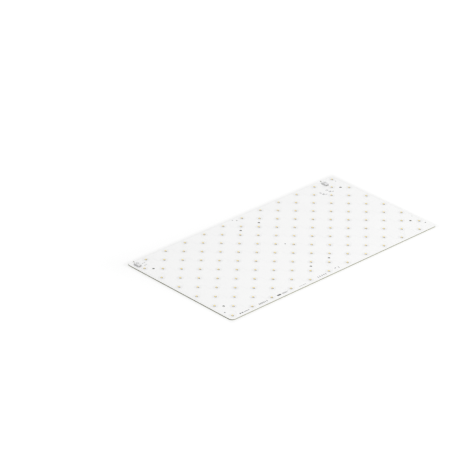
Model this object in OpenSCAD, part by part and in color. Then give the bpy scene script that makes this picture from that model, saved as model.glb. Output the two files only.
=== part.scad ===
// Rectangular LED module: a white circuit board that carries a staggered field of LED packages,
// six copper strings under the solder mask and two push-in wire terminals.
// The origin is the centre of the board's underside. X runs along the long side, Y towards the
// long edge with the wire notches, Z up. All sizes are in millimetres.

/* [Board] */
// Length of the board along X
board_l = 540; // [480:1:600]
// Width of the board along Y
board_w = 270; // [250:1:310]
// Thickness of the laminate
board_t = 1.6; // [0.8:0.1:3.2]
// Radius of the board's corners
corner_r = 8; // [2:0.5:10]

/* [Mounting holes] */
// Diameter of a mounting hole
hole_d = 4.5; // [3:0.1:6]
// Distance of a hole from the short edge, and from the middle of the board's length
hole_inset_x = 24; // [22:0.5:27]
// Distance of a hole from the long edge
hole_inset_y = 45; // [42:0.5:48]

/* [Wire notches] */
// Width of a notch in the long edge
notch_w = 8; // [5:0.5:12]
// Depth of a notch
notch_d = 5; // [3:0.5:6]
// Offset of a notch from the middle of its terminal
notch_shift = 0.7; // [-1:0.1:3]
// Radius of a notch's inner corners
notch_r = 1; // [0.5:0.1:2]
// Radius of the rounded lips at a notch's mouth
lip_r = 1.4; // [0.5:0.1:2.5]

/* [LED field] */
// Number of LED columns, counting both staggered sets
led_columns = 22; // [18:2:24]
// Number of LED rows, two to a string
led_rows = 12; // [8:2:12]

/* [LED package] */
// Width of a package along X
led_w = 3.5; // [3:0.1:4.5]
// Length of a package along Y, from lead to lead
led_l = 2.8; // [2.6:0.1:4]
// Height of a package
led_h = 0.8; // [0.5:0.05:1.5]
// Wall beside the cavity, at the top
led_wall = 0.3; // [0.25:0.05:0.4]
// How far the cavity's walls lean in from top to floor
led_lean = 0.25; // [0.1:0.05:0.35]
// Cut corner that marks the cathode
led_mark = 0.4; // [0.2:0.1:0.5]
// Thickness of the leads
lead_t = 0.2; // [0.1:0.05:0.3]
// Width of a lead
lead_w = 2.8; // [1.6:0.1:2.9]
// Gap between the two leads
lead_gap = 0.6; // [0.3:0.1:0.8]
// Length of the tab that a lead shows outside the package
lead_tab = 0.15; // [0.05:0.05:0.4]
// Width of the LED chip
chip_w = 0.7; // [0.4:0.05:1]
// Length of the LED chip
chip_l = 0.4; // [0.2:0.05:0.5]
// Height of the LED chip
chip_h = 0.15; // [0.1:0.01:0.18]

/* [Copper] */
// Height that the copper raises the solder mask
copper_t = 0.07; // [0.03:0.01:0.2]
// Diameter of the round copper field under an LED
field_d = 14; // [9:0.5:15]
// Gap between two pieces of copper
copper_gap = 0.6; // [0.3:0.1:1]
// Width of a track
track_w = 1.2; // [0.6:0.1:2]
// Length along X of a track's slanted ends
track_slant = 4; // [3:0.5:5]
// Offset of a track's straight stretch from the middle between its two LEDs
track_shift = 1; // [-1:0.1:1]
// Bare margin between copper and the board's edge
edge_margin = 1.2; // [0.8:0.1:1.6]
// Slanted corner of the supply rail
rail_corner = 4.5; // [3:0.5:6]

/* [Wire terminals] */
// Width of a terminal along X
term_w = 8; // [7.4:0.1:10]
// Length of a terminal along Y
term_l = 12; // [11:0.5:13]
// Height of a terminal
term_h = 4; // [3.8:0.1:6]
// Offset of a terminal from the LED column behind it
term_shift = -1.5; // [-3:0.1:0]
// Distance between the two poles
pole_pitch = 4; // [3.6:0.1:4.4]
// Thickness of a terminal's rear wall
wall_rear = 0.8; // [0.6:0.1:1.2]
// Thickness of a terminal's roof
wall_roof = 0.8; // [0.6:0.1:0.9]
// Depth of a funnel-shaped wire entry
entry_depth = 1.5; // [1:0.1:2]
// Width of a wire entry's mouth
mouth_w = 2.8; // [2.4:0.1:3.2]
// Height of a wire entry's mouth
mouth_h = 2.4; // [2:0.1:2.5]
// Narrowing of a wire entry on each side
entry_taper = 0.3; // [0.2:0.05:0.5]
// Height of the sill between a solder tail and the wire entry above it
entry_sill = 0.28; // [0.15:0.01:0.35]
// Width of a release slot in the roof
slot_w = 1.4; // [1:0.1:1.8]
// Length of a release slot
slot_l = 2.6; // [2:0.1:3]
// Distance of the release slots' middle from the housing's middle, towards the wire entries
slot_y = 0.7; // [0:0.1:1.2]
// Slope cut from the housing's rear top edge
rear_slope = 1.2; // [0.5:0.1:1.6]
// Chamfer of the housing's front top edge
front_chamfer = 0.4; // [0.2:0.1:0.6]
// Radius of the housing's upright edges
edge_r = 0.5; // [0.2:0.1:1]
// Width and depth of the groove between the poles
groove = 0.5; // [0.3:0.05:0.6]

/* [Contacts] */
// Width of a spring contact
contact_w = 1.6; // [1.2:0.1:1.7]
// Thickness of a contact's base strip
strip_t = 0.4; // [0.3:0.05:0.5]
// Thickness of the spring leaf
leaf_t = 0.3; // [0.2:0.05:0.4]
// Length of a solder tail outside the housing
tail_l = 0.8; // [0.5:0.1:1]
// Gap between the tip of the spring and the base strip
tip_gap = 0.1; // [0.05:0.05:0.3]
// Width of a solder pad
pad_w = 2; // [1.8:0.1:2.2]
// Length of a solder pad outside the housing
pad_out = 1.2; // [1:0.1:1.4]
// Length of a solder pad under the housing
pad_in = 0.6; // [0.3:0.1:1]
// Clearance of the housing around contacts and pads
fit_gap = 0.1; // [0.05:0.05:0.2]

/* [Hidden] */
$fn = 48;

// LED lattice: half a pitch to each edge, so that the pattern carries on from board to board
pitch_x = board_l / led_columns;
pitch_y = board_w / led_rows;
strings = led_rows / 2;
led_z = board_t + copper_t;
function led_x(column) = (column + 0.5 - led_columns / 2) * pitch_x;
function led_y(row) = (led_rows / 2 - 0.5 - row) * pitch_y;
function row_columns(row) = [1 - row % 2 : 2 : led_columns - 1];
// A string runs from the left end to the right end, in turns through its lower and upper row
function string_row(string, column) = 2 * string + 1 - column % 2;
function string_led(string, column) = [led_x(column), led_y(string_row(string, column))];

// Copper rails: beside the outer LED fields, with one gap to them
exit_y = (copper_gap + track_w) / 2;
rail_w = pitch_y / 2 - field_d / 2 - copper_gap - edge_margin;
rail_y = board_w / 2 - edge_margin - rail_w / 2;
lane_y = board_w / 2 - notch_d - edge_margin - rail_w / 2;
bus_x = -led_x(0) + field_d / 2 + copper_gap + rail_w / 2;

// Terminals stand behind the second LED row's first column and its last, midway between that
// row's copper and the rail that passes the notches
term_x = [led_x(0) + term_shift, led_x(led_columns - 2) + term_shift];
term_y = (led_y(1) + field_d / 2 + lane_y - rail_w / 2) / 2;
pad_end = term_l / 2 + pad_out;
channel_w = pad_w + 2 * fit_gap;
channel_h = term_h - wall_roof;
channel_front = term_l / 2 - entry_depth;
channel_rear = -term_l / 2 + wall_rear;
tail_h = copper_t + strip_t + fit_gap;
mouth_z = tail_h + entry_sill + mouth_h / 2;

// A little more than nothing, so that a cut passes cleanly through a face
cut = 0.5;

function two_digits(n) = n < 10 ? str("0", n) : str(n);
function row_node(name, row) = str(name, "_row_", two_digits(row + 1));
function string_node(name, string) = str(name, "_string_", string + 1);
rows = [for (row = [0 : led_rows - 1]) row];
string_list = [for (string = [0 : strings - 1]) string];

// Outline of a strip of even width along a bent line, with mitred bends
function unit(v) = v / norm(v);
function left_of(v) = [-v[1], v[0]];
function mitre(line, k) =
    let (
        last = len(line) - 1,
        before = unit(k > 0 ? line[k] - line[k - 1] : line[1] - line[0]),
        after = unit(k < last ? line[k + 1] - line[k] : line[last] - line[last - 1])
    )
    (left_of(before) + left_of(after)) / (1 + before * after);
module ribbon(line, width) {
    count = len(line);
    right_side = [for (k = [0 : count - 1]) line[k] - mitre(line, k) * width / 2];
    left_side = [for (k = [count - 1 : -1 : 0]) line[k] + mitre(line, k) * width / 2];
    polygon(concat(right_side, left_side));
}

module rounded_rectangle(length, width, radius) {
    square([length - 2 * radius, width], center = true);
    square([length, width - 2 * radius], center = true);
    for (x = [-1, 1], y = [-1, 1])
        translate([x * (length / 2 - radius), y * (width / 2 - radius)]) circle(radius);
}

// Block that widens or narrows evenly from one rectangle to another above it
module tapered_block(bottom, top, height) {
    around = [[-0.5, -0.5], [0.5, -0.5], [0.5, 0.5], [-0.5, 0.5]];
    polyhedron(
        points = concat(
            [for (corner = around) [corner[0] * bottom[0], corner[1] * bottom[1], 0]],
            [for (corner = around) [corner[0] * top[0], corner[1] * top[1], height]]
        ),
        faces = concat(
            [[0, 1, 2, 3], [7, 6, 5, 4]],
            [for (k = [0 : 3]) [k + 4, (k + 1) % 4 + 4, (k + 1) % 4, k]]
        )
    );
}

// The board

module notch_outline() {
    translate([-notch_w / 2, notch_r - notch_d]) square([notch_w, notch_d - notch_r + cut]);
    translate([notch_r - notch_w / 2, -notch_d]) square([notch_w - 2 * notch_r, notch_d]);
    for (side = [-1, 1]) {
        translate([side * (notch_w / 2 - notch_r), notch_r - notch_d]) circle(notch_r);
        difference() {
            translate([side * notch_w / 2, -lip_r]) translate([side > 0 ? 0 : -lip_r, 0])
                square([lip_r, lip_r + cut]);
            translate([side * (notch_w / 2 + lip_r), -lip_r]) circle(lip_r);
        }
    }
}

module circuit_board() {
    color([0.95, 0.95, 0.94])
        linear_extrude(board_t)
            difference() {
                rounded_rectangle(board_l, board_w, corner_r);
                for (x = [-1, 1], half = [-1, 1], y = [-1, 1])
                    translate([
                        half * board_l / 4 + x * (board_l / 4 - hole_inset_x),
                        y * (board_w / 2 - hole_inset_y)
                    ]) circle(d = hole_d);
                for (x = term_x)
                    translate([x + notch_shift, board_w / 2]) notch_outline();
            }
}

// Copper, raised under the solder mask

module copper() {
    color([0.9, 0.9, 0.88])
        translate([0, 0, board_t]) linear_extrude(copper_t) children();
}

// Half of the round field under an LED: side 1 is its +Y half, side -1 its -Y half
module half_field(led, side) {
    translate(led)
        intersection() {
            circle(d = field_d);
            translate([0, side * (copper_gap / 2 + field_d / 2)]) square(field_d, center = true);
        }
}

// One island of a string: it joins equal halves of two neighbouring LEDs' fields
module string_island(from, to, side) {
    y_from = from[1] + side * exit_y;
    y_to = to[1] + side * exit_y;
    x = (from[0] + to[0]) / 2 + track_shift;
    slant = track_slant * sign(y_to - y_from);
    half_field(from, side);
    half_field(to, side);
    ribbon([
        [from[0] + field_d / 4, y_from],
        [x - track_slant, y_from],
        [x, y_from + slant],
        [x, y_to - slant],
        [x + track_slant, y_to],
        [to[0] - field_d / 4, y_to]
    ], track_w);
}

module copper_string(string) {
    copper()
        for (column = [0 : led_columns - 2])
            string_island(
                string_led(string, column),
                string_led(string, column + 1),
                column % 2 == 0 ? -1 : 1
            );
}

// Stub from a string's end to the bus beside it
module string_end(led, x) {
    half_field(led, 1);
    ribbon([
        [led[0], led[1] + exit_y],
        [x, led[1] + exit_y]
    ], track_w);
}

// Bus along the left end, from the left terminal's outer pole to the start of each string
module return_bus() {
    pole_x = term_x[0] - pole_pitch / 2 - pad_w / 2;
    y_top = term_y - pad_end;
    copper() {
        ribbon([
            [-bus_x, led_y(led_rows - 1) + exit_y - track_w / 2],
            [-bus_x, y_top + pad_out]
        ], rail_w);
        translate([-bus_x, y_top]) square([pole_x + bus_x, pad_out]);
        for (s = string_list)
            string_end(string_led(s, 0), -bus_x);
    }
}

// Rail along the far edge, round the notches, and bus along the right end to each string's end
module supply_bus() {
    pole_x = [for (x = term_x) x + pole_pitch / 2];
    notch_side = notch_w / 2 + edge_margin + rail_w / 2;
    left_x = term_x[0] + notch_shift + notch_side;
    right_x = [for (side = [-1, 1]) term_x[1] + notch_shift + side * notch_side];
    rise = rail_y - lane_y;
    copper() {
        ribbon([
            [pole_x[0], term_y + pad_end],
            [pole_x[0], lane_y],
            [left_x, lane_y],
            [left_x + rise, rail_y],
            [right_x[0] - rise, rail_y],
            [right_x[0], lane_y],
            [right_x[1], lane_y],
            [right_x[1] + rise, rail_y],
            [bus_x - rail_corner, rail_y],
            [bus_x, rail_y - rail_corner],
            [bus_x, led_y(led_rows - 2) + exit_y - track_w / 2]
        ], rail_w);
        ribbon([
            [pole_x[1], term_y + pad_end],
            [pole_x[1], lane_y]
        ], track_w);
        for (s = string_list)
            string_end(string_led(s, led_columns - 1), bus_x);
    }
}

module terminal_pads() {
    copper()
        for (x = term_x, pole = [-1, 1], end = [-1, 1])
            translate([
                x + pole * pole_pitch / 2,
                term_y + end * (term_l + pad_out - pad_in) / 2
            ]) square([pad_w, pad_out + pad_in], center = true);
}

// LED packages, drawn about their own middle with the cathode towards +Y

// Upper rows of a string point their cathodes one way and lower rows the other
module at_each_led(row) {
    for (column = row_columns(row))
        translate([led_x(column), led_y(row), led_z]) rotate(row % 2 == 0 ? 0 : 180) children();
}

module lead_pair() {
    length = led_l / 2 + lead_tab - lead_gap / 2;
    for (side = [-1, 1])
        translate([0, side * (lead_gap + length) / 2, lead_t / 2])
            cube([lead_w, length, lead_t], center = true);
}

module chip() {
    lead_middle = (lead_gap / 2 + led_l / 2 - led_wall - led_lean) / 2;
    translate([0, lead_middle, lead_t + chip_h / 2]) cube([chip_w, chip_l, chip_h], center = true);
}

module cavity() {
    opening = [led_w - 2 * led_wall, led_l - 2 * led_wall];
    lean = [2 * led_lean, 2 * led_lean];
    translate([0, 0, lead_t]) tapered_block(opening - lean, opening, led_h - lead_t);
}

module package_body() {
    difference() {
        linear_extrude(led_h)
            polygon([
                [-led_w / 2, -led_l / 2],
                [led_w / 2, -led_l / 2],
                [led_w / 2, led_l / 2 - led_mark],
                [led_w / 2 - led_mark, led_l / 2],
                [-led_w / 2, led_l / 2]
            ]);
        lead_pair();
        cavity();
    }
}

module phosphor_fill() {
    difference() {
        cavity();
        chip();
    }
}

module led_leads(row) {
    color([0.72, 0.72, 0.7]) at_each_led(row) lead_pair();
}

module led_chips(string) {
    color([0.35, 0.4, 0.5])
        for (row = [2 * string, 2 * string + 1]) at_each_led(row) chip();
}

module led_bodies(row) {
    color([0.88, 0.88, 0.86]) at_each_led(row) package_body();
}

module led_phosphor(row) {
    color([0.93, 0.76, 0.32]) at_each_led(row) phosphor_fill();
}

// Wire terminals, drawn about the middle of their footprint with the wire entries towards +Y

module at_terminal(side) {
    translate([term_x[side], term_y, board_t]) children();
}

module at_poles() {
    for (pole = [-1, 1]) translate([pole * pole_pitch / 2, 0, 0]) children();
}

// Turns an outline drawn in Y and Z into a plate of the given width along X
module side_plate(width) {
    translate([-width / 2, 0, 0]) rotate([90, 0, 90]) linear_extrude(width) children();
}

module housing_block() {
    intersection() {
        side_plate(term_w)
            polygon([
                [-term_l / 2, 0],
                [term_l / 2, 0],
                [term_l / 2, term_h - front_chamfer],
                [term_l / 2 - front_chamfer, term_h],
                [rear_slope - term_l / 2, term_h],
                [-term_l / 2, term_h - rear_slope]
            ]);
        linear_extrude(term_h) rounded_rectangle(term_w, term_l, edge_r);
    }
}

module wire_channel() {
    length = channel_front - channel_rear;
    translate([-channel_w / 2, channel_rear, -cut]) cube([channel_w, length, channel_h + cut]);
    translate([-channel_w / 2, -pad_end, -cut]) cube([channel_w, 2 * pad_end, tail_h + cut]);
    translate([-slot_w / 2, slot_y - slot_l / 2, channel_h - cut])
        cube([slot_w, slot_l, wall_roof + 2 * cut]);
}

// Funnel that guides a stripped wire into its channel
module wire_entry() {
    mouth = [mouth_w, mouth_h];
    narrow = [mouth_w - 2 * entry_taper, mouth_h - 2 * entry_taper];
    translate([0, channel_front, mouth_z]) rotate([-90, 0, 0]) tapered_block(narrow, mouth, entry_depth);
}

module terminal_housing(side) {
    color([0.83, 0.83, 0.83])
        at_terminal(side)
            difference() {
                housing_block();
                at_poles() {
                    wire_channel();
                    wire_entry();
                }
                translate([-groove / 2, -term_l / 2 - cut, term_h - groove])
                    cube([groove, term_l + 2 * cut, groove + cut]);
            }
}

// Base strip with a tail at each end, and a leaf that rises behind, runs under the roof and turns
// back down towards the strip, so that it bites on a pushed-in wire
module spring_contact() {
    base = copper_t + strip_t;
    rear_y = channel_rear + fit_gap + leaf_t / 2;
    top_z = channel_h - fit_gap - leaf_t / 2;
    front_y = channel_front - fit_gap - leaf_t;
    tip = [slot_y - slot_l + leaf_t, base + tip_gap + leaf_t / 2];
    difference() {
        side_plate(contact_w) {
            translate([-term_l / 2 - tail_l, copper_t]) square([term_l + 2 * tail_l, strip_t]);
            ribbon([
                [rear_y, copper_t + strip_t / 2],
                [rear_y, top_z],
                [front_y - leaf_t, top_z],
                [front_y, top_z - leaf_t],
                [front_y - leaf_t, top_z - 2 * leaf_t],
                tip
            ], leaf_t);
        }
        translate([-slot_w / 4, slot_y - slot_l / 2, top_z - leaf_t])
            cube([slot_w / 2, slot_l, 2 * leaf_t]);
    }
}

module terminal_contacts(side) {
    color([0.78, 0.74, 0.62]) at_terminal(side) at_poles() spring_contact();
}

circuit_board();
supply_bus();
return_bus();
terminal_pads();
for (s = string_list) copper_string(s);
for (r = rows) led_leads(r);
for (s = string_list) led_chips(s);
for (r = rows) led_bodies(r);
for (r = rows) led_phosphor(r);
terminal_contacts(0);  // left_terminal_contacts
terminal_contacts(1);  // right_terminal_contacts
terminal_housing(0);  // left_terminal_housing
terminal_housing(1);  // right_terminal_housing
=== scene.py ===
"""Finishes, solder, printed marks, floor, light and camera for the rectangular LED module.

Lengths are in metres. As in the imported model, X runs along the board's long side, Y towards the
long edge with the wire notches, and Z up from the board's underside.
"""

import math

import bmesh
import bpy
from mathutils import Matrix, Vector


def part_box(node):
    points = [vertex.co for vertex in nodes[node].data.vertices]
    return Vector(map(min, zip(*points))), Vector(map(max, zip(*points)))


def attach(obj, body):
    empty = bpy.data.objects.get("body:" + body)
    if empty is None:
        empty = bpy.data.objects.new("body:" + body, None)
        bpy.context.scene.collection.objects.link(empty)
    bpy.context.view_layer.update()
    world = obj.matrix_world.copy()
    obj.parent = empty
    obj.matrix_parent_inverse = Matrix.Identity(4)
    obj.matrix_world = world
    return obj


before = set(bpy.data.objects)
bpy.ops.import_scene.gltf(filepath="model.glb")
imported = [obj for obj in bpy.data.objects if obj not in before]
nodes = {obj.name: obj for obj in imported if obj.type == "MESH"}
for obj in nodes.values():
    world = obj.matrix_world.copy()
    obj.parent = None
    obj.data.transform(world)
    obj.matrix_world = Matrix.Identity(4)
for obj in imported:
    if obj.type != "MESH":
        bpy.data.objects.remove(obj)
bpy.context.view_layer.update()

MM = 0.001

# The LED lattice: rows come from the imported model, columns are counted over both staggered sets
LED_COLUMNS = 22
LED_ROWS = sum(name.startswith("led_bodies_row_") for name in nodes)

board_low, board_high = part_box("circuit_board")
BOARD_L = board_high.x - board_low.x
BOARD_W = board_high.y - board_low.y
BOARD_TOP = board_high.z
COPPER_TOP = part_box("copper_string_1")[1].z
PITCH_X = BOARD_L / LED_COLUMNS
PITCH_Y = BOARD_W / LED_ROWS


# Shader nodes

def add_node(tree, kind, inputs=None, **settings):
    """Adds a node, sets its properties and fills its inputs with values or other nodes' outputs."""
    node = tree.nodes.new(kind)
    for name, value in settings.items():
        setattr(node, name, value)
    for key, value in (inputs or {}).items():
        if isinstance(value, bpy.types.NodeSocket):
            tree.links.new(value, node.inputs[key])
        else:
            node.inputs[key].default_value = value
    return node


def calc(tree, operation, *values):
    """One step of arithmetic on numbers or outputs."""
    return add_node(tree, "ShaderNodeMath", dict(enumerate(values)), operation=operation).outputs[0]


# The Mix node has sockets of the same name for each kind of data, so they go by number
MIX_FACTOR = 0
MIX_NUMBERS = 2, 3
MIX_COLOURS = 6, 7
MIXED_NUMBER = 0
MIXED_COLOUR = 2


def mix_colours(tree, way, factor, first, second):
    """Two colours mixed in one of the ways that the Mix node offers."""
    inputs = dict(zip(MIX_COLOURS, (first, second)))
    inputs[MIX_FACTOR] = factor
    node = add_node(tree, "ShaderNodeMix", inputs, data_type="RGBA", blend_type=way)
    return node.outputs[MIXED_COLOUR]


def blend_colours(tree, factor, first, second):
    """The first colour where the factor is 0, the second where it is 1."""
    return mix_colours(tree, "MIX", factor, first, second)


def multiply_colours(tree, first, second):
    """Two colours multiplied with each other."""
    return mix_colours(tree, "MULTIPLY", 1.0, first, second)


def blend_numbers(tree, factor, first, second):
    """The first number where the factor is 0, the second where it is 1."""
    inputs = dict(zip(MIX_NUMBERS, (first, second)))
    inputs[MIX_FACTOR] = factor
    return add_node(tree, "ShaderNodeMix", inputs).outputs[MIXED_NUMBER]


def between(tree, value, low, high):
    """0 at low, 1 at high, and an even ramp between them."""
    inputs = {"Value": value, "From Min": low, "From Max": high}
    return add_node(tree, "ShaderNodeMapRange", inputs, clamp=True).outputs[0]


def object_place(tree):
    """Where a point lies in the part's own frame, in metres."""
    return add_node(tree, "ShaderNodeTexCoord").outputs["Object"]


def split_place(tree):
    """The X, Y and Z of a point in the part's own frame."""
    return add_node(tree, "ShaderNodeSeparateXYZ", {0: object_place(tree)}).outputs


def facing_parts(tree):
    """The X, Y and Z of a face's direction."""
    normal = add_node(tree, "ShaderNodeNewGeometry").outputs["Normal"]
    return add_node(tree, "ShaderNodeSeparateXYZ", {0: normal}).outputs


# Vertical part of a face's direction from which it counts as looking up or down
LEVEL_FACE = 0.5


def faces_up(tree):
    """1 on faces that look up and 0 on the rest."""
    return calc(tree, "GREATER_THAN", facing_parts(tree)["Z"], LEVEL_FACE)


def faces_end(tree):
    """1 on faces that look along X, 0 on those that look along Y, and a soft turn between them."""
    return calc(tree, "POWER", facing_parts(tree)["X"], 2.0)


def stretched(tree, place, scale):
    """A place with each axis multiplied by its own factor."""
    return add_node(tree, "ShaderNodeMapping", {"Vector": place, "Scale": scale}).outputs[0]


def noise(tree, place, scale, detail=2.0, roughness=0.5):
    """Cloudy values about 0.5, with features of about 1 / scale metres."""
    inputs = {"Vector": place, "Scale": scale, "Detail": detail, "Roughness": roughness}
    return add_node(tree, "ShaderNodeTexNoise", inputs).outputs["Fac"]


def bump(tree, height, distance, strength):
    """A normal that follows the height, where a height of 1 stands distance metres proud."""
    inputs = {"Height": height, "Distance": distance, "Strength": strength}
    return add_node(tree, "ShaderNodeBump", inputs).outputs[0]


def new_material(name):
    """An empty material: returns the material, its tree and the surface input of its output."""
    material = bpy.data.materials.new(name)
    material.use_nodes = True
    tree = material.node_tree
    tree.nodes.clear()
    output = tree.nodes.new("ShaderNodeOutputMaterial")
    return material, tree, output.inputs["Surface"]


def principled(name, build):
    """A material with one Principled shader, whose inputs come from build(tree) as a dictionary."""
    material, tree, surface = new_material(name)
    shader = add_node(tree, "ShaderNodeBsdfPrincipled", build(tree))
    tree.links.new(shader.outputs[0], surface)
    return material


# Solder mask and laminate: tones in pairs, texture scales in features per metre

MASK_TONES = (0.880, 0.880, 0.878, 1), (0.868, 0.868, 0.867, 1)
TRACK_TONES = (0.855, 0.855, 0.854, 1), (0.842, 0.842, 0.842, 1)
FIELD_TONES = (0.828, 0.828, 0.827, 1), (0.814, 0.814, 0.814, 1)
FIELD_RADIUS = 7.1 * MM
MASK_CLOUDS = 18.0
MASK_CLOUD_RANGE = 0.3, 0.7
MASK_GLOSS = 220.0
MASK_PEEL = 700.0
MASK_PEEL_HEIGHT = 0.006 * MM
MASK_ROUGHNESS = 0.38, 0.5

SEAM_TONE = (0.814, 0.814, 0.814, 1)
SEAM_HALF_WIDTH = 0.4 * MM
SEAM_STRENGTH = 0.6

LAMINATE_DARK = (0.343, 0.343, 0.225, 1)
LAMINATE_LIGHT = (0.50, 0.496, 0.358, 1)
LAMINATE_BACK = (0.60, 0.60, 0.50, 1)
LAMINATE_RANGE = 0.35, 0.65
LAMINATE_ROUGHNESS = 0.65
GLASS_LAYERS = 8
LAYER_STRETCH = (0.04, 0.04, 1.0)
LAYER_SHARE = 0.6
ROUTER_MARKS = 900.0
ROUTER_STRETCH = (1.0, 1.0, 0.1)
ROUTER_SHARE = 0.4
WEAVE_THREADS = 320.0
WEAVE_STRENGTH = 0.5

# Tones that the cut laminate is multiplied by, and how far from the edges a cut is a drilled hole
CUT_PLAIN = (1, 1, 1, 1)
CUT_END = (0.585, 0.587, 0.51, 1)
# Painted shade: the walls of the holes made near black, for the shade inside them
PAINTED_HOLE_SHADE = (0.14, 0.14, 0.03, 1)
DRILLED_INSET = 15 * MM


def mask_colour(tree, place, tones):
    """Solder mask: one tone with wide, weak clouds."""
    clouds = between(tree, noise(tree, place, MASK_CLOUDS), *MASK_CLOUD_RANGE)
    return blend_colours(tree, clouds, *tones)


def mask_normal(tree, place):
    """Orange peel of a cured solder mask."""
    peel = noise(tree, place, MASK_PEEL, detail=3.0)
    return bump(tree, peel, MASK_PEEL_HEIGHT, strength=0.6)


def mask_roughness(tree, place):
    """Uneven sheen of a cured solder mask."""
    gloss = noise(tree, place, MASK_GLOSS, detail=3.0)
    return blend_numbers(tree, gloss, *MASK_ROUGHNESS)


def bare_mask_colour(tree, place, spot):
    """Mask over bare laminate, with a faint line across the middle of the board's length."""
    mask = mask_colour(tree, place, MASK_TONES)
    seam = between(tree, calc(tree, "ABSOLUTE", spot["X"]), SEAM_HALF_WIDTH, 0.0)
    return blend_colours(tree, calc(tree, "MULTIPLY", seam, SEAM_STRENGTH), mask, SEAM_TONE)


def laminate_edge_colour(tree, place):
    """Sawn glass-epoxy: glass layers along Z, broken up along the edge by the router's marks."""
    shares = []
    for stretch, scale, share in (
        (LAYER_STRETCH, GLASS_LAYERS / BOARD_TOP, LAYER_SHARE),
        (ROUTER_STRETCH, ROUTER_MARKS, ROUTER_SHARE),
    ):
        texture = noise(tree, stretched(tree, place, stretch), scale, detail=3.0, roughness=0.6)
        shares.append(calc(tree, "MULTIPLY", texture, share))
    mixed = between(tree, calc(tree, "ADD", *shares), *LAMINATE_RANGE)
    return blend_colours(tree, mixed, LAMINATE_DARK, LAMINATE_LIGHT)


def cut_shade(tree, spot):
    """How much the cut laminate is darkened: not on the long edges, some at the ends, and most in
    the holes, where it is painted shade.
    """
    shade = blend_colours(tree, faces_end(tree), CUT_PLAIN, CUT_END)
    inset_x = calc(tree, "SUBTRACT", BOARD_L / 2, calc(tree, "ABSOLUTE", spot["X"]))
    inset_y = calc(tree, "SUBTRACT", BOARD_W / 2, calc(tree, "ABSOLUTE", spot["Y"]))
    inset = calc(tree, "MINIMUM", inset_x, inset_y)
    drilled = calc(tree, "GREATER_THAN", inset, DRILLED_INSET)
    # Painted shade on the walls of the holes
    return blend_colours(tree, drilled, shade, PAINTED_HOLE_SHADE)


def laminate_weave(tree, place):
    """Glass cloth that shows through bare laminate, as two crossed sets of threads."""
    waves = []
    for direction in ("X", "Y"):
        inputs = {"Vector": place, "Scale": WEAVE_THREADS, "Distortion": 0.6, "Detail": 1.0}
        wave = add_node(tree, "ShaderNodeTexWave", inputs, bands_direction=direction)
        waves.append(wave.outputs["Fac"])
    return calc(tree, "MULTIPLY", *waves)


def laminate_back_colour(tree, place):
    """Bare underside, with its glass cloth."""
    weave = calc(tree, "MULTIPLY", laminate_weave(tree, place), WEAVE_STRENGTH)
    return blend_colours(tree, weave, LAMINATE_BACK, LAMINATE_LIGHT)


def board_inputs(tree):
    """Circuit board: mask on top, cut laminate at the edges and in the holes, bare underside."""
    place = object_place(tree)
    spot = split_place(tree)
    is_top = faces_up(tree)
    is_back = calc(tree, "LESS_THAN", facing_parts(tree)["Z"], -LEVEL_FACE)
    cut = multiply_colours(tree, laminate_edge_colour(tree, place), cut_shade(tree, spot))
    colour = blend_colours(tree, is_back, cut, laminate_back_colour(tree, place))
    colour = blend_colours(tree, is_top, colour, bare_mask_colour(tree, place, spot))
    return {
        "Base Color": colour,
        "Roughness": blend_numbers(tree, is_top, LAMINATE_ROUGHNESS, mask_roughness(tree, place)),
        "Normal": mask_normal(tree, place),
    }


def led_distance(tree):
    """Level distance of a point from the nearest place of the LED lattice."""
    spot = split_place(tree)
    squares = []
    for axis, pitch in (("X", PITCH_X), ("Y", PITCH_Y)):
        offset = calc(tree, "SUBTRACT", calc(tree, "WRAP", spot[axis], pitch, 0.0), pitch / 2)
        squares.append(calc(tree, "POWER", offset, 2.0))
    return calc(tree, "SQRT", calc(tree, "ADD", *squares))


def masked_copper_inputs(tree):
    """Copper under the mask: shows more on the wide fields round the LEDs than on the tracks."""
    place = object_place(tree)
    is_track = calc(tree, "GREATER_THAN", led_distance(tree), FIELD_RADIUS)
    field = mask_colour(tree, place, FIELD_TONES)
    track = mask_colour(tree, place, TRACK_TONES)
    return {
        "Base Color": blend_colours(tree, is_track, field, track),
        "Roughness": mask_roughness(tree, place),
        "Normal": mask_normal(tree, place),
    }


# LED packages

PHOSPHOR_MIDDLE = (0.995, 0.675, 0.013, 1)
PHOSPHOR_RIM = (0.995, 0.725, 0.035, 1)
PHOSPHOR_RADIUS = 1.5 * MM
PHOSPHOR_SPECKLE = 0.3
PHOSPHOR_RANGE = 0.3, 1.1
PHOSPHOR_GRAIN = 9000.0
PHOSPHOR_GRAIN_HEIGHT = 0.004 * MM
PHOSPHOR_ROUGHNESS = 0.22, 0.34

RESIN_RIM = (0.90, 0.89, 0.86, 1), (0.83, 0.82, 0.79, 1)
# Painted shade: the resin is white all over; its sides and ends are greyed to stand for the shade on
# them
RESIN_SIDE_PAINTED_SHADE = (0.77, 0.77, 0.75, 1), (0.67, 0.67, 0.65, 1)
RESIN_END_PAINTED_SHADE = (0.42, 0.42, 0.41, 1), (0.34, 0.34, 0.33, 1)
RESIN_GRAIN = 4000.0
RESIN_GRAIN_HEIGHT = 0.004 * MM
RESIN_ROUGHNESS = 0.38, 0.5

CHIP_TONES = (0.10, 0.13, 0.22, 1), (0.28, 0.32, 0.42, 1)
CHIP_LINES = 2500.0


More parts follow.
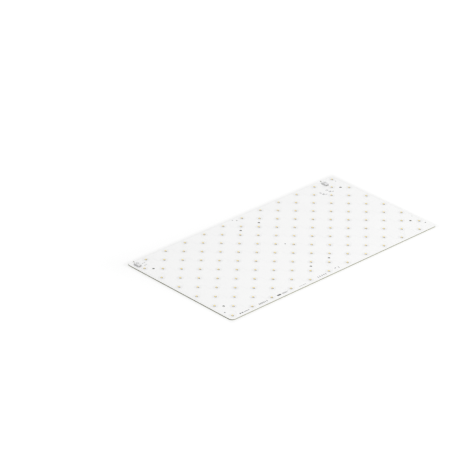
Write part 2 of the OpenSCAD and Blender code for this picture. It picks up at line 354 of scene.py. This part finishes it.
def phosphor_inputs(tree):
    """Yellow phosphor in silicone: deeper in the middle, grainy, with a smooth wet surface."""
    grain = noise(tree, object_place(tree), PHOSPHOR_GRAIN, detail=3.0)
    away = calc(tree, "DIVIDE", led_distance(tree), PHOSPHOR_RADIUS)
    speckle = calc(tree, "MULTIPLY", grain, PHOSPHOR_SPECKLE)
    spread = between(tree, calc(tree, "ADD", away, speckle), *PHOSPHOR_RANGE)
    return {
        "Base Color": blend_colours(tree, spread, PHOSPHOR_MIDDLE, PHOSPHOR_RIM),
        "Roughness": blend_numbers(tree, grain, *PHOSPHOR_ROUGHNESS),
        "Normal": bump(tree, grain, PHOSPHOR_GRAIN_HEIGHT, strength=0.5),
        "Specular IOR Level": 0.2,
    }


def led_body_inputs(tree):
    """White moulded resin of an LED package with a faint grain, and painted shade that greys its
    sides, most at the ends.
    """
    grain = noise(tree, object_place(tree), RESIN_GRAIN, detail=3.0)
    rim = blend_colours(tree, grain, *RESIN_RIM)
    side = blend_colours(tree, grain, *RESIN_SIDE_PAINTED_SHADE)
    end_painted_shade = blend_colours(tree, grain, *RESIN_END_PAINTED_SHADE)
    # Painted shade: the ends darker than the sides
    side = blend_colours(tree, faces_end(tree), side, end_painted_shade)
    return {
        "Base Color": blend_colours(tree, faces_up(tree), side, rim),
        "Roughness": blend_numbers(tree, grain, *RESIN_ROUGHNESS),
        "Normal": bump(tree, grain, RESIN_GRAIN_HEIGHT, strength=0.5),
    }


def chip_inputs(tree):
    """Blue-grey crystal of an LED chip, with the fine lines that spread its current."""
    inputs = {"Vector": object_place(tree), "Scale": CHIP_LINES}
    lines = add_node(tree, "ShaderNodeTexWave", inputs, bands_direction="X").outputs["Fac"]
    return {
        "Base Color": blend_colours(tree, lines, *CHIP_TONES),
        "Roughness": 0.15,
    }


# Metal

METAL_CLOUDS = 1500.0
METAL_WAVE_HEIGHT = 0.01 * MM
METAL_ROUGHNESS_SPAN = 0.15
PLATED_TONES = (0.62, 0.62, 0.61, 1), (0.46, 0.46, 0.45, 1)
# Tin darker than real tin: a painted reflection of dark surroundings
TIN_TONES_PAINTED_DARK = (0.29, 0.29, 0.285, 1), (0.20, 0.20, 0.197, 1)
SPRING_TONES = (0.76, 0.73, 0.64, 1), (0.62, 0.59, 0.50, 1)


def metal(name, tones, roughness):
    """Tinned or plated metal: uneven tone and sheen, slightly wavy."""
    def build(tree):
        clouds = noise(tree, object_place(tree), METAL_CLOUDS, detail=4.0, roughness=0.6)
        return {
            "Base Color": blend_colours(tree, clouds, *tones),
            "Metallic": 1.0,
            "Roughness": blend_numbers(tree, clouds, roughness, roughness + METAL_ROUGHNESS_SPAN),
            "Normal": bump(tree, clouds, METAL_WAVE_HEIGHT, strength=0.5),
        }
    return principled(name, build)


# Terminal housings and print

HOUSING_TOP = (0.82, 0.82, 0.82, 1), (0.76, 0.76, 0.765, 1)
# Painted shade: sides and ends of the housing darker than its top, which has the plastic's own tone
HOUSING_SIDE_PAINTED_SHADE = (0.54, 0.54, 0.54, 1), (0.48, 0.48, 0.485, 1)
HOUSING_END_PAINTED_SHADE = (0.66, 0.66, 0.66, 1), (0.60, 0.60, 0.605, 1)
HOUSING_CLOUDS = 150.0
HOUSING_SPARK = 3500.0
HOUSING_SPARK_HEIGHT = 0.012 * MM
HOUSING_ROUGHNESS = 0.45, 0.62

INK_TONES = (0.05, 0.05, 0.05, 1), (0.16, 0.16, 0.16, 1)
INK_COVER = 1800.0
INK_COVER_RANGE = 0.3, 0.75
INK_COVER_HEIGHT = 0.003 * MM
INK_ROUGHNESS = 0.5, 0.7


def terminal_inputs(tree):
    """Light grey moulded plastic with the spark texture of its tool, and painted shade that greys
    its sides and ends.
    """
    place = object_place(tree)
    spark = noise(tree, place, HOUSING_SPARK, detail=4.0, roughness=0.65)
    clouds = noise(tree, place, HOUSING_CLOUDS)
    top = blend_colours(tree, clouds, *HOUSING_TOP)
    side = blend_colours(tree, clouds, *HOUSING_SIDE_PAINTED_SHADE)
    end_painted_shade = blend_colours(tree, clouds, *HOUSING_END_PAINTED_SHADE)
    # Painted shade: the ends greyer than the top, the sides greyest
    side = blend_colours(tree, faces_end(tree), side, end_painted_shade)
    return {
        "Base Color": blend_colours(tree, faces_up(tree), side, top),
        "Roughness": blend_numbers(tree, spark, *HOUSING_ROUGHNESS),
        "Normal": bump(tree, spark, HOUSING_SPARK_HEIGHT, strength=0.7),
    }


def ink_inputs(tree):
    """Printed ink, in some spots dense and in others thin, where the mask's peel shows through."""
    clouds = noise(tree, object_place(tree), INK_COVER, detail=4.0, roughness=0.7)
    cover = between(tree, clouds, *INK_COVER_RANGE)
    return {
        "Base Color": blend_colours(tree, cover, *INK_TONES),
        "Roughness": blend_numbers(tree, cover, *INK_ROUGHNESS),
        "Normal": bump(tree, cover, INK_COVER_HEIGHT, strength=0.5),
    }


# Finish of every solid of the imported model

board_mask = principled("white_mask_and_laminate", board_inputs)
masked_copper = principled("copper_under_mask", masked_copper_inputs)
phosphor = principled("yellow_phosphor", phosphor_inputs)
led_resin = principled("white_led_resin", led_body_inputs)
chip_crystal = principled("led_chip_crystal", chip_inputs)
plated = metal("plated_lead", PLATED_TONES, roughness=0.28)
tin = metal("tin_solder", TIN_TONES_PAINTED_DARK, roughness=0.3)
spring_metal = metal("tinned_spring", SPRING_TONES, roughness=0.3)
grey_plastic = principled("grey_moulded_plastic", terminal_inputs)
ink = principled("printed_ink", ink_inputs)

NODE_MATERIALS = {
    "circuit_board": board_mask,
    "supply_bus": masked_copper,
    "return_bus": masked_copper,
    "copper_string": masked_copper,
    "terminal_pads": tin,
    "led_leads": plated,
    "led_chips": chip_crystal,
    "led_bodies": led_resin,
    "led_phosphor": phosphor,
    "left_terminal_contacts": spring_metal,
    "right_terminal_contacts": spring_metal,
    "left_terminal_housing": grey_plastic,
    "right_terminal_housing": grey_plastic,
}


def dress_nodes():
    """Gives each node the finish whose key its name starts with."""
    for name, node in nodes.items():
        start = next(key for key in NODE_MATERIALS if name.startswith(key))
        node.data.materials.clear()
        node.data.materials.append(NODE_MATERIALS[start])


dress_nodes()


# Pieces that only the scene has

def add_object(name, data):
    """Puts a mesh, a lamp or a camera into the scene."""
    thing = bpy.data.objects.new(name, data)
    bpy.context.scene.collection.objects.link(thing)
    return thing


def add_mesh(name, mesh, material):
    """Puts a finished mesh with one material into the scene."""
    data = bpy.data.meshes.new(name)
    mesh.to_mesh(data)
    mesh.free()
    data.materials.append(material)
    return add_object(name, data)


def add_piece(name, mesh, material):
    """Puts a finished mesh into the scene as a piece that moves with the board."""
    bmesh.ops.recalc_face_normals(mesh, faces=mesh.faces)
    piece = add_mesh(name, mesh, material)
    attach(piece, "root")


# Solder: a hollow fillet in front of each lead and terminal tail

FILLET_SECTIONS = 8
FILLET_STEPS = 5
# How far a fillet draws in at its two ends, where 1 would close it to a point
FILLET_ROUNDING = 0.96
# Share of a fillet's height that doesn't shrink where it draws in
FILLET_STEADY_HEIGHT = 0.25


def add_fillet(mesh, foot, outward, width, height, reach):
    """A solder fillet that starts at foot, leans against a face and runs out along Y."""
    rings = []
    for section in range(FILLET_SECTIONS + 1):
        across = 2 * section / FILLET_SECTIONS - 1
        swell = math.sqrt(1 - FILLET_ROUNDING * across ** 4)
        crest = height * (FILLET_STEADY_HEIGHT + (1 - FILLET_STEADY_HEIGHT) * swell)
        profile = [(0.0, 0.0)]
        for step in range(FILLET_STEPS + 1):
            out = step / FILLET_STEPS
            profile.append((reach * swell * out, crest * (1 - out) ** 2))
        ring = []
        for y, z in profile:
            ring.append(mesh.verts.new(foot + Vector((across * width / 2, outward * y, z))))
        rings.append(ring)
    count = len(rings[0])
    for before, after in zip(rings, rings[1:]):
        for k in range(count):
            corner = (k + 1) % count
            mesh.faces.new((before[k], before[corner], after[corner], after[k]))
    mesh.faces.new(rings[0])
    mesh.faces.new(reversed(rings[-1]))


# Reach of an LED's two fillets, and how much wider than its leads they are. The near fillet reaches
# further, so that its dark tin also lays painted shade on that side of each LED
LED_FILLET_NEAR = 1.3 * MM
LED_FILLET_FAR = 0.8 * MM
LED_FILLET_EXTRA = 0.8 * MM


def led_middles(row):
    """Middles of the LEDs of one row on the copper's top, counted from the far long edge."""
    y = BOARD_W / 2 - (row + 0.5) * PITCH_Y
    for column in range(1 - row % 2, LED_COLUMNS, 2):
        yield Vector(((column + 0.5) * PITCH_X - BOARD_L / 2, y, COPPER_TOP))


def make_led_solder():
    """Fillets at both leads of every LED."""
    mesh = bmesh.new()
    leads_low, leads_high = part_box("led_leads_row_01")
    height = leads_high.z - leads_low.z
    half_length = (leads_high.y - leads_low.y) / 2
    first = next(led_middles(0))
    width = 2 * (first.x - leads_low.x) + LED_FILLET_EXTRA
    for row in range(LED_ROWS):
        for middle in led_middles(row):
            for side, reach in ((-1, LED_FILLET_NEAR), (1, LED_FILLET_FAR)):
                foot = middle + Vector((0, side * half_length, 0))
                add_fillet(mesh, foot, side, width, height, reach)
    add_piece("led_solder", mesh, tin)


TAIL_WIDTH = 1.6 * MM
TAIL_HEIGHT = 0.4 * MM
TAIL_FILLET_REACH = 0.35 * MM


def make_terminal_solder():
    """Fillets at the front and rear tails of both terminals' contacts."""
    mesh = bmesh.new()
    for side in ("left", "right"):
        low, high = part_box(side + "_terminal_contacts")
        for x in (low.x + TAIL_WIDTH / 2, high.x - TAIL_WIDTH / 2):
            for outward, y in ((-1, low.y), (1, high.y)):
                foot = Vector((x, y, COPPER_TOP))
                add_fillet(mesh, foot, outward, TAIL_WIDTH, TAIL_HEIGHT, TAIL_FILLET_REACH)
    add_piece("terminal_solder", mesh, tin)


make_led_solder()
make_terminal_solder()


# Printed marks: plain bars, placed in millimetres from the left end and from the far long edge

INK_THICKNESS = 0.02 * MM
CORNER_STEPS = 4
# Radius of a bar's corners as a share of its shorter side
CORNER_SHARE = 0.3

# From the left end, from the far edge, length, width, and then how many and how far apart
EDGE_BARS = (
    (28.3, 262.6, 3.8, 2.4, 2, 5.3),
    (43.8, 262.8, 12.5, 1.3, 1, 0.0),
    (76.8, 261.5, 1.9, 4.0, 4, 3.6),
    (91.5, 261.7, 1.4, 4.0, 2, 4.5),
    (126.8, 261.2, 9.0, 3.8, 1, 0.0),
    (141.6, 260.5, 15.0, 0.8, 1, 0.0),
    (140.2, 262.4, 12.0, 0.8, 1, 0.0),
    (184.6, 263.6, 17.5, 0.6, 1, 0.0),
    (226.7, 262.0, 1.3, 4.8, 5, 4.9),
    (275.0, 258.5, 3.2, 2.2, 1, 0.0),
    (282.2, 260.3, 1.3, 4.6, 1, 0.0),
)

# From the left end, from the far edge, length and width
LEFT_TERMINAL_BARS = (
    (25.0, 17.8, 8.0, 0.8),
    (23.0, 25.8, 8.0, 0.8),
)

# Where the two groups at the right terminal start, and the bars of one group from there
RIGHT_TERMINAL_GROUPS = 469.1, 487.1
RIGHT_TERMINAL_BARS = (
    (0.0, 34.9, 5.0, 0.8),
    (0.0, 37.9, 5.0, 0.8),
    (1.2, 42.6, 5.8, 1.0),
    (1.2, 45.0, 5.8, 1.0),
    (5.7, 47.3, 5.2, 0.8),
)

# From the left end, from the far edge, and size
ALIGNMENT_MARKS = (
    (9.6, 242.6, 2.6),
    (263.0, 5.8, 1.8),
    (268.8, 11.8, 2.2),
    (272.0, 134.8, 2.6),
    (528.0, 20.8, 1.8),
    (532.2, 214.2, 1.2),
    (532.3, 248.0, 2.4),
)


def on_board(from_left, from_far):
    """A place on the board's top, from its distances to the left end and far edge in millimetres."""
    return Vector((from_left * MM - BOARD_L / 2, BOARD_W / 2 - from_far * MM, BOARD_TOP))


def rounded_outline(length, width, radius):
    """Corners of a flat rounded rectangle about the origin, counter-clockwise."""
    points = []
    for x, y, start in ((1, 1, 0), (-1, 1, 90), (-1, -1, 180), (1, -1, 270)):
        centre = Vector((x * (length / 2 - radius), y * (width / 2 - radius)))
        for step in range(CORNER_STEPS + 1):
            angle = math.radians(start + 90 * step / CORNER_STEPS)
            points.append(centre + radius * Vector((math.cos(angle), math.sin(angle))))
    return points


def add_bar(mesh, from_left, from_far, length, width):
    """A printed bar with rounded corners, from its place, length along X and width along Y."""
    middle = on_board(from_left, from_far)
    radius = CORNER_SHARE * min(length, width) * MM
    outline = rounded_outline(length * MM, width * MM, radius)
    low, high = [], []
    for point in outline:
        low.append(mesh.verts.new(middle + point.to_3d()))
        high.append(mesh.verts.new(middle + point.to_3d() + Vector((0, 0, INK_THICKNESS))))
    for k in range(len(outline)):
        corner = (k + 1) % len(outline)
        mesh.faces.new((low[k], low[corner], high[corner], high[k]))
    mesh.faces.new(reversed(low))
    mesh.faces.new(high)


def make_edge_marks():
    """Row of bars between the LEDs along the near long edge."""
    mesh = bmesh.new()
    for left, far, length, width, count, step in EDGE_BARS:
        for k in range(count):
            add_bar(mesh, left + k * step, far, length, width)
    add_piece("edge_marks", mesh, ink)


def make_terminal_marks():
    """Bars beside the wire terminals."""
    mesh = bmesh.new()
    for bar in LEFT_TERMINAL_BARS:
        add_bar(mesh, *bar)
    for start in RIGHT_TERMINAL_GROUPS:
        for left, far, length, width in RIGHT_TERMINAL_BARS:
            add_bar(mesh, start + left, far, length, width)
    add_piece("terminal_marks", mesh, ink)


def make_alignment_marks():
    """Small square marks spread over the board."""
    mesh = bmesh.new()
    for left, far, size in ALIGNMENT_MARKS:
        add_bar(mesh, left, far, size, size)
    add_piece("alignment_marks", mesh, ink)


make_edge_marks()
make_terminal_marks()
make_alignment_marks()


# Floor, light and camera

FLOOR_SIZE = 24.0
FLOOR_GAP = 0.05 * MM
FLOOR_SEEN = (0.92, 0.92, 0.92, 1)
FLOOR_LIGHTING = (0.75, 0.75, 0.75, 1)
FLOOR_LIFT_NEAR = 0.056
FLOOR_LIFT_FAR = 0.6
# Distances from the board at which the lift begins, reaches its near value and its far value; with
# no lift close to the board, the floor there carries painted shade
FLOOR_SHADED = 3.3 * MM
FLOOR_NEAR = 9 * MM
FLOOR_FAR = 0.8


def seen_directly(tree):
    """1 for what the camera sees, also in gloss and through glass, and 0 for what only lights."""
    path = add_node(tree, "ShaderNodeLightPath").outputs
    most = calc(tree, "MAXIMUM", path["Is Camera Ray"], path["Is Glossy Ray"])
    return calc(tree, "MAXIMUM", most, path["Is Transmission Ray"])


def distance_from_board(tree):
    """Level distance of a point from the board's outline, and 0 under the board."""
    spot = split_place(tree)
    squares = []
    for axis, half in (("X", BOARD_L / 2), ("Y", BOARD_W / 2)):
        past = calc(tree, "SUBTRACT", calc(tree, "ABSOLUTE", spot[axis]), half)
        squares.append(calc(tree, "POWER", calc(tree, "MAXIMUM", past, 0.0), 2.0))
    return calc(tree, "SQRT", calc(tree, "ADD", *squares))


def table_material():
    """White table that keeps shadows and is lifted to white for the camera alone, except close to
    the board, where holding back the lift paints shade.
    """
    material, tree, surface = new_material("white_table")
    seen = seen_directly(tree)
    colour = blend_colours(tree, seen, FLOOR_LIGHTING, FLOOR_SEEN)
    matte = add_node(tree, "ShaderNodeBsdfDiffuse", {"Color": colour})
    away = distance_from_board(tree)
    # Painted shade: no lift close to the board
    lift = calc(tree, "MULTIPLY", between(tree, away, FLOOR_SHADED, FLOOR_NEAR), FLOOR_LIFT_NEAR)
    lift = blend_numbers(tree, between(tree, away, FLOOR_NEAR, FLOOR_FAR), lift, FLOOR_LIFT_FAR)
    lift = calc(tree, "MULTIPLY", seen, lift)
    glow = add_node(tree, "ShaderNodeEmission", {"Strength": lift})
    both = add_node(tree, "ShaderNodeAddShader", {0: matte.outputs[0], 1: glow.outputs[0]})
    tree.links.new(both.outputs[0], surface)
    return material


def make_floor():
    """Wide table just under the board."""
    mesh = bmesh.new()
    bmesh.ops.create_grid(mesh, x_segments=1, y_segments=1, size=FLOOR_SIZE / 2)
    floor = add_mesh("floor", mesh, table_material())
    floor.location.z = -FLOOR_GAP


# Strength of the surroundings as light, and as the camera sees them
AMBIENT = 0.58
BACKDROP = 1.0


def make_world():
    """Even white surroundings: white to look at, and a weak fill as light."""
    world = bpy.data.worlds.new("surroundings")
    world.use_nodes = True
    tree = world.node_tree
    tree.nodes.clear()
    strength = blend_numbers(tree, seen_directly(tree), AMBIENT, BACKDROP)
    back = add_node(tree, "ShaderNodeBackground", {"Color": (1, 1, 1, 1), "Strength": strength})
    output = add_node(tree, "ShaderNodeOutputWorld")
    tree.links.new(back.outputs[0], output.inputs["Surface"])
    bpy.context.scene.world = world


KEY_PLACE = Vector((0.25, -0.75, 2.5))
KEY_SIZE = 1.6
KEY_POWER = 37.0


def make_key_light():
    """Large softbox overhead, a little towards the near right."""
    light = bpy.data.lights.new("softbox", "AREA")
    light.shape = "SQUARE"
    light.size = KEY_SIZE
    light.energy = KEY_POWER
    lamp = add_object("softbox", light)
    lamp.location = KEY_PLACE
    lamp.rotation_mode = "QUATERNION"
    lamp.rotation_quaternion = (-KEY_PLACE).to_track_quat("-Z", "Y")


# Fitted to the LED lattice as the photo shows it
CAMERA_AZIMUTH = math.radians(-45.7648)
CAMERA_ELEVATION = math.radians(27.9636)
CAMERA_ROLL = math.radians(2.3826)
CAMERA_DISTANCE = 5.026498
CAMERA_TARGET = Vector((-0.0300795, 0.1225489, 0.0))
CAMERA_LIFT = 0.37 * MM
CAMERA_LENS = 215.434
CAMERA_SENSOR = 36.0
CAMERA_CLIP = 0.1, 100.0


def make_camera():
    """Long lens from the near left corner's side, looking down on the board."""
    level = math.cos(CAMERA_ELEVATION)
    back = Vector((
        math.sin(CAMERA_AZIMUTH) * level,
        -math.cos(CAMERA_AZIMUTH) * level,
        math.sin(CAMERA_ELEVATION),
    ))
    right = Vector((math.cos(CAMERA_AZIMUTH), math.sin(CAMERA_AZIMUTH), 0))
    up = back.cross(right)
    turned_right = math.cos(CAMERA_ROLL) * right + math.sin(CAMERA_ROLL) * up
    turned_up = math.cos(CAMERA_ROLL) * up - math.sin(CAMERA_ROLL) * right
    data = bpy.data.cameras.new("camera")
    data.lens = CAMERA_LENS
    data.sensor_width = CAMERA_SENSOR
    data.clip_start, data.clip_end = CAMERA_CLIP
    camera = add_object("camera", data)
    turn = Matrix((turned_right, turned_up, back)).transposed()
    place = CAMERA_TARGET + CAMERA_DISTANCE * back + CAMERA_LIFT * turned_up
    camera.matrix_world = Matrix.Translation(place) @ turn.to_4x4()
    bpy.context.scene.camera = camera


make_floor()
make_world()
make_key_light()
make_camera()
bpy.context.scene.view_settings.view_transform = "Standard"
